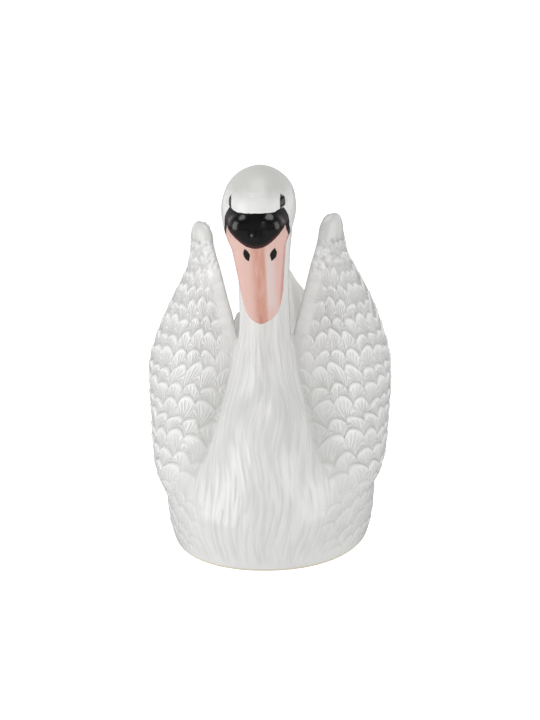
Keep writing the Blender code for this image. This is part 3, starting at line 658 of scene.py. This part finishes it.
# Painted areas of the face, as signed distances in mm worked out from Object coordinates: above 0
# is inside an area. y is measured before the length is centred.
FACE = f"""
    x = abs(sx)
    y = yy - ({LENGTH_SHIFT})
    # black knob under the forehead, with a strip down each side of the bill's root
    top_edge = 269.3 + 2.4 * soft(x - 16.5, 7)
    low_edge = 243.2 + 15.5 * (x / 21.3) ** 1.95
    knob = low(top_edge - z, z - low_edge)
    lore = low(top_edge - z, x - 21.4 - 0.2 * high(0, 260 - z))
    side = 24.2 - 0.0297 * high(0, z - 260) * high(0, z - 260) + 0.12 * high(0, 258 - z)
    mask = low(low(high(knob, lore), side - x), -51 - y)
    # eyes, the one at +x wider, and a thin line that joins each of them to the knob
    right = soft(sx, 1)
    inner = 18.5 - 0.8 * right
    ex = (x - inner + 0.6) / (2.6 + 1.8 * right)
    ez = (z - 275.8) / 5
    eye = low(low((1 - sqrt(ex * ex + ez * ez)) * 3, x - inner), -58 - y)
    link = low(low(x - inner - 0.2, inner + 1.2 - x), low(z - 269, 274 - z)) + 0.5
    # nostrils, two almonds that lean inwards at the bottom
    nx = abs(sx - 2.7) - 9.9
    nz = z - 237.8
    na = nx * 0.966 - nz * 0.259
    nl = nx * 0.259 + nz * 0.966
    nostril = low(2.4 * (1 - nl * nl / 27) - abs(na), -60 - y)
    black = high(high(mask, eye), high(nostril, low(link, -60 - y) - 0.7))
    # salmon bill, forward of its root
    back = 42.5 + 20 * low(1, high(0, (z - 228) / 34))
    bill = low(low(-back - y, 268 - z), 22 + 0.2 * high(0, 260 - z) - x)
"""


def painted_glaze(colours):
    """The head: black and salmon underglaze brushed on by hand, under the same clear gloss glaze. Black areas
    look wet and deep, with a reddish-brown painted highlight along the bottom of the knob. The salmon is
    streaky along the bill: a warm brushed stripe, a whitish stripe of painted highlight beside it, darker
    along the edges and the nail."""
    def surface(tree, mm, known):
        wobble = add_node(tree, "ShaderNodeTexNoise", {"Vector": mm, "Scale": 0.35, "Detail": 1.0}).outputs[0]
        along = add_node(tree, "ShaderNodeVectorMath", {0: mm, 1: (0.35, 0.2, 0.035)},
                         operation="MULTIPLY").outputs[0]
        brush = add_node(tree, "ShaderNodeTexNoise",
                         {"Vector": along, "Scale": 1.0, "Detail": 3.0}).outputs[0]
        # greyer in the low places of the relief, partly pooled glaze and partly painted shade, and blotches
        # of painted shade on top of the head
        # painted highlight: a reddish-brown band along the bottom of the knob
        # painted highlight: a whitish stripe down the bill's right slope
        face = work_out(tree, FACE + """
    # s runs across the bill from its middle, and mouth is the distance from its side line
    half = 21.5 - (262 - z) * 0.1
    s = sx - 1.6
    mouth = abs(y + 61.3 - 0.0035 * (232 - z) * (232 - z))
    edge = soft(abs(s) / half - 0.94, 0.16) * (0.35 + 0.65 * right) * (1 - soft(mouth - 6.5, 5))
    nail = soft(2.2 - abs(s + 0.8) - (z - 180) * 0.25, 3)
    stripe = soft(s + 4.5, 8) * (1 - soft(s - 4.8, 2.4)) * soft(252 - z, 16) * (0.15 + 1.2 * brush)
    pale = soft(s - 5.4, 2.4) * (1 - soft(s - 11.5, 5)) * soft(240 - z, 16) * soft(z - 192, 14) * 0.75
    is_black = soft(black + (wobble - 0.5) * 0.9, 0.35)
    is_bill = soft(bill + (wobble - 0.5) * 0.8, 0.6)
    warm = low(1, stripe + 0.25 * brush)
    dark = low(1, 0.75 * edge + 0.7 * nail)
    rim = (1 - soft(z - low_edge - 2.4, 2.6)) * soft(knob, 1) * 0.8
    pool = low(1, low(1, high(0, 0.55 - relief * 0.36)) * (0.55 + 0.5 * cloud) * 0.8 + crown)
    height = 0.1 * waves - 0.5 * soft(nostril, 1.4) + 0.12 * soft(black, 0.5)
    rough = 0.16 + 0.08 * waves + 0.04 * is_black - 0.05 * is_bill + 0.2 * low(1, crown)
    """, wobble=wobble, brush=brush, **known)
        colour = add_node(tree, "ShaderNodeMix", {0: face["pool"], 6: colours.glaze, 7: colours.pooled},
                          data_type="RGBA").outputs[2]
        salmon = add_node(tree, "ShaderNodeMix", {0: face["warm"], 6: colours.bill, 7: colours.bill_ridge},
                          data_type="RGBA").outputs[2]
        # black paint, with the painted highlight of the knob's bottom band mixed in
        black = add_node(tree, "ShaderNodeMix", {0: face["rim"], 6: colours.face, 7: colours.face_rim_highlight},
                         data_type="RGBA").outputs[2]
        # the whitish painted highlight stripe and the darker edge line over the salmon
        for amount, paint in ((face["pale"], colours.bill_highlight), (face["dark"], colours.bill_edge)):
            salmon = add_node(tree, "ShaderNodeMix", {0: amount, 6: salmon, 7: paint},
                              data_type="RGBA").outputs[2]
        for amount, paint in ((face["is_bill"], salmon), (face["is_black"], black)):
            colour = add_node(tree, "ShaderNodeMix", {0: amount, 6: colour, 7: paint},
                              data_type="RGBA").outputs[2]
        return colour, face["rough"], face["height"]

    return glazed_material("underglaze paint under clear gloss glaze", ("relief",), surface)


# Building the casting

def finished_mesh(obj):
    """The object's mesh with its modifiers worked in, and the modifiers gone."""
    mesh = bpy.data.meshes.new_from_object(obj.evaluated_get(bpy.context.evaluated_depsgraph_get()),
                                           preserve_all_data_layers=True,
                                           depsgraph=bpy.context.evaluated_depsgraph_get())
    obj.modifiers.clear()
    old, obj.data = obj.data, mesh
    bpy.data.meshes.remove(old)


def linked(name, bm):
    """New object in the scene from a bmesh."""
    mesh = bpy.data.meshes.new(name)
    bm.to_mesh(mesh)
    bm.free()
    obj = bpy.data.objects.new(name, mesh)
    bpy.context.scene.collection.objects.link(obj)
    return obj


def ease_folds(obj, passes=5, least=0.3):
    """Even out the few slivers that thinning folds over: faces turned away from their corners."""
    bm = bmesh.new()
    bm.from_mesh(obj.data)
    for _ in range(passes):
        bm.normal_update()
        folded = {v for f in bm.faces for v in f.verts if f.normal.dot(v.normal) < least}
        bmesh.ops.smooth_vert(bm, verts=list(folded), factor=0.5,
                              use_axis_x=True, use_axis_y=True, use_axis_z=True)
    bm.to_mesh(obj.data)
    bm.free()


def flatten_foot(obj):
    """Cut the skin level at the foot and close it."""
    bm = bmesh.new()
    bm.from_mesh(obj.data)
    cut = bmesh.ops.bisect_plane(bm, geom=bm.verts[:] + bm.edges[:] + bm.faces[:], dist=1e-7,
                                 plane_co=(0, 0, 0), plane_no=(0, 0, 1), clear_inner=True)
    bmesh.ops.contextual_create(bm, geom=[e for e in cut["geom_cut"] if isinstance(e, bmesh.types.BMEdge)])
    bmesh.ops.recalc_face_normals(bm, faces=bm.faces)
    bm.to_mesh(obj.data)
    bm.free()


def cut_with(obj, bm, operation="DIFFERENCE"):
    """Boolean with a helper body that is removed afterwards."""
    bmesh.ops.recalc_face_normals(bm, faces=bm.faces)
    tool = linked("cutter", bm)
    cut = obj.modifiers.new("cut", "BOOLEAN")
    cut.operation, cut.solver, cut.object = operation, "EXACT", tool
    finished_mesh(obj)
    bpy.data.objects.remove(tool)


def inset_rows(table, steps, inset, keep):
    """Stations of a form drawn in by inset, where it is wide enough for slip to run out."""
    return [(y, z, wide - inset, deep - inset) for y, z, wide, deep in stations(table, steps)
            if keep[0] < z < keep[1] and min(wide, deep) > inset + HOLLOW_LEAST]


def hollow_and_foot(obj, sizes):
    """The hollow that the poured-out slip leaves, the vent and the recess inside the foot ring."""
    bm = bmesh.new()
    steps, count = HOLLOW_RINGS["hull"]
    add_loft(bm, [hull_ring(z, count, sizes.wall + HULL_SPARE)
                  for z in heights(sizes.wall, HULL[-1][0] - sizes.wall - HOLLOW_TOP, steps)])
    bmesh.ops.recalc_face_normals(bm, faces=bm.faces)
    hollow = linked("hollow", bm)
    for key, table, keep in (("neck", NECK, NECK_HOLLOW), ("tail", TAIL, TAIL_HOLLOW)):
        steps, count = HOLLOW_RINGS[key]
        bm = bmesh.new()
        add_loft(bm, swept_rings(inset_rows(table, steps, sizes.wall + TUBE_SPARE, keep), count))
        cut_with(hollow, bm, "UNION")
    bm = bmesh.new()
    bm.from_mesh(hollow.data)
    bpy.data.objects.remove(hollow)
    cut_with(obj, bm)
    bm = bmesh.new()
    turns = [2 * math.pi * i / VENT_POINTS for i in range(VENT_POINTS)]
    circle = [(math.cos(a) * sizes.vent / 2, FOOT_CENTRE_Y + math.sin(a) * sizes.vent / 2) for a in turns]
    add_loft(bm, [[(x, y, z) for x, y in circle] for z in (-PAST, sizes.wall + PAST)])
    cut_with(obj, bm)
    bm = bmesh.new()
    add_loft(bm, [[(x, y, z) for x, y, _ in hull_ring(0.0, FOOT_POINTS, sizes.foot_ring + draft)]
                  for z, draft in ((-PAST, 0.0), (0.0, 0.0), (sizes.foot_recess, FOOT_DRAFT))])
    cut_with(obj, bm)


def cast_swan(sizes, colours):
    """Build the casting and return its object."""
    obj = linked("swan_casting", base_forms())
    flow = obj.modifiers.new("flow", "REMESH")
    flow.mode, flow.voxel_size, flow.adaptivity = "VOXEL", sizes.grid * MM, 0.0
    soft = obj.modifiers.new("soft", "SMOOTH")
    soft.factor, soft.iterations = 0.5, round(SOFTENING / sizes.grid**2)
    feathers = obj.modifiers.new("moulded feathers", "NODES")
    materials = (white_glaze(colours, sizes), painted_glaze(colours))
    tree = feather_tree(materials)
    feathers.node_group = tree
    for item in tree.interface.items_tree:
        if item.in_out == "INPUT" and item.socket_type == "NodeSocketFloat":
            feathers[item.identifier] = float(getattr(sizes, item.name))
    finished_mesh(obj)
    faces = sum(len(f.vertices) - 2 for f in obj.data.polygons)
    thin = obj.modifiers.new("thin", "DECIMATE")
    thin.ratio = min(1.0, SKIN_TRIANGLES / faces)
    finished_mesh(obj)
    ease_folds(obj)
    flatten_foot(obj)
    hollow_and_foot(obj, sizes)
    obj.data.transform(Matrix.Translation((0, LENGTH_SHIFT * MM, 0)))
    obj.data.polygons.foreach_set("use_smooth", [True] * len(obj.data.polygons))
    return obj


class SWAN_OT_casting(bpy.types.Operator):
    """Build the glazed swan in place of its CAD solid"""
    bl_idname = "swan.casting"
    bl_label = "Swan Casting"

    def execute(self, context):
        casting = cast_swan(context.scene.swan_sizes, context.scene.swan_colours)
        if not casting.data.polygons:
            raise RuntimeError("the casting came out empty")
        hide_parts(NODE)
        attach(casting, "root")
        return {"FINISHED"}


# Stage

# name, place and target, width and height, all in metres, and the stage value that holds its power
SOFTBOXES = (("left softbox", (-1.1, -0.8, 0.6), (0.0, 0.0, 0.15), 0.9, 1.3, "key"),
             ("right softbox", (1.15, -0.7, 0.55), (0.0, 0.0, 0.15), 0.8, 1.2, "fill"),
             ("overhead softbox", (0.0, -0.1, 1.2), (0.0, 0.05, 0.1), 0.7, 0.7, "top"))
CAMERA_TARGET = (2.4, LENGTH_SHIFT, 135.0)      # mm
FLOOR_HALF = 12.0               # metres


def area_light(name, place, target, width, height, power):
    """A softbox at place that faces target."""
    light = bpy.data.lights.new(name, "AREA")
    light.shape, light.size, light.size_y, light.energy = "RECTANGLE", width, height, power
    obj = bpy.data.objects.new(name, light)
    obj.location = place
    obj.rotation_euler = (Vector(target) - Vector(place)).to_track_quat("-Z", "Y").to_euler()
    bpy.context.scene.collection.objects.link(obj)
    return obj


def make_floor(colours):
    """Floor of backlit white acrylic. The backlight whitens the background and lifts the hull from
    below, but it is kept out of the glaze's reflections, so the black face stays deep."""
    bm = bmesh.new()
    bmesh.ops.create_grid(bm, x_segments=1, y_segments=1, size=FLOOR_HALF)
    floor = linked("floor", bm)
    acrylic = bpy.data.materials.new("backlit white acrylic")
    acrylic.use_nodes = True
    tree = acrylic.node_tree
    shader = tree.nodes["Principled BSDF"]
    shader.inputs["Base Color"].default_value = tuple(colours.floor) + (1.0,)
    shader.inputs["Roughness"].default_value = 0.9
    shader.inputs["Emission Color"].default_value = (1.0, 1.0, 1.0, 1.0)
    rays = add_node(tree, "ShaderNodeLightPath").outputs
    lit = work_out(tree, "lit = seen + 0.5 * bounced", seen=rays["Is Camera Ray"],
                   bounced=rays["Is Diffuse Ray"])["lit"]
    tree.links.new(lit, shader.inputs["Emission Strength"])
    floor.data.materials.append(acrylic)
    return floor


def make_walls(stage):
    """Studio walls as the world, darker behind the camera and overhead, so the glaze keeps its depth."""
    world = bpy.data.worlds.new("studio walls and darker ceiling")
    world.use_nodes = True
    tree = world.node_tree
    way = add_node(tree, "ShaderNodeSeparateXYZ", {0: add_node(tree, "ShaderNodeTexCoord").outputs[0]})
    glow = work_out(tree, """
    behind_swan = 0.35 + 0.65 * soft(y + 0.1, 1.4)
    glow = walls * behind_swan * (1 - 0.75 * soft(z - 0.5, 0.9))
    """, y=way.outputs[1], z=way.outputs[2], walls=stage.walls)["glow"]
    background = tree.nodes["Background"]
    background.inputs["Color"].default_value = (1.0, 1.0, 1.0, 1.0)
    tree.links.new(glow, background.inputs["Strength"])
    return world


def make_camera(stage):
    """Camera at the photograph's angle, looking at the middle of the swan."""
    a, e, roll = stage.azimuth, stage.elevation, stage.roll
    back = Vector((math.sin(a) * math.cos(e), -math.cos(a) * math.cos(e), math.sin(e)))
    right = Vector((math.cos(a), math.sin(a), 0.0))
    up = right.cross(-back)
    turned = (math.cos(roll) * right - math.sin(roll) * up, math.sin(roll) * right + math.cos(roll) * up)
    camera = bpy.data.cameras.new("photo camera")
    camera.sensor_fit, camera.sensor_width, camera.lens = "HORIZONTAL", 36.0, stage.lens
    camera.clip_start, camera.clip_end = 0.05, 50.0
    obj = bpy.data.objects.new("photo camera", camera)
    basis = Matrix((turned[0], turned[1], back)).transposed().to_4x4()
    obj.matrix_world = Matrix.Translation(Vector(CAMERA_TARGET) * MM + back * stage.distance) @ basis
    bpy.context.scene.collection.objects.link(obj)
    return obj


class SWAN_OT_stage(bpy.types.Operator):
    """Make the pale floor, the softboxes and the camera"""
    bl_idname = "swan.stage"
    bl_label = "Studio"

    def execute(self, context):
        stage = context.scene.swan_stage
        floor = make_floor(context.scene.swan_colours)
        context.scene.world = make_walls(stage)
        context.scene.view_settings.view_transform = "Standard"
        for name, place, target, width, height, power in SOFTBOXES:
            area_light(name, place, target, width, height, getattr(stage, power))
        context.scene.camera = make_camera(stage)
        return {"FINISHED"}


class SWAN_PT_panel(bpy.types.Panel):
    """Buttons and sizes of the swan"""
    bl_label = "Swan Figurine"
    bl_idname = "SWAN_PT_panel"
    bl_space_type = "VIEW_3D"
    bl_region_type = "UI"
    bl_category = "Swan"

    def draw(self, context):
        scene = context.scene
        self.layout.operator("swan.casting")
        self.layout.operator("swan.stage")
        for group in (scene.swan_sizes, scene.swan_colours, scene.swan_stage):
            box = self.layout.box()
            for key in group.__annotations__:
                box.prop(group, key)


GROUPS = (("swan_sizes", SwanSizes), ("swan_colours", SwanColours), ("swan_stage", SwanStage))
CLASSES = (SwanSizes, SwanColours, SwanStage, SWAN_OT_casting, SWAN_OT_stage, SWAN_PT_panel)


def register():
    for item in CLASSES:
        bpy.utils.register_class(item)
    for name, group in GROUPS:
        setattr(bpy.types.Scene, name, bpy.props.PointerProperty(type=group))


def unregister():
    for name, _ in GROUPS:
        delattr(bpy.types.Scene, name)
    for item in reversed(CLASSES):
        bpy.utils.unregister_class(item)


def main():
    register()
    bpy.ops.swan.casting()
    bpy.ops.swan.stage()


if __name__ == "__main__":
    main()
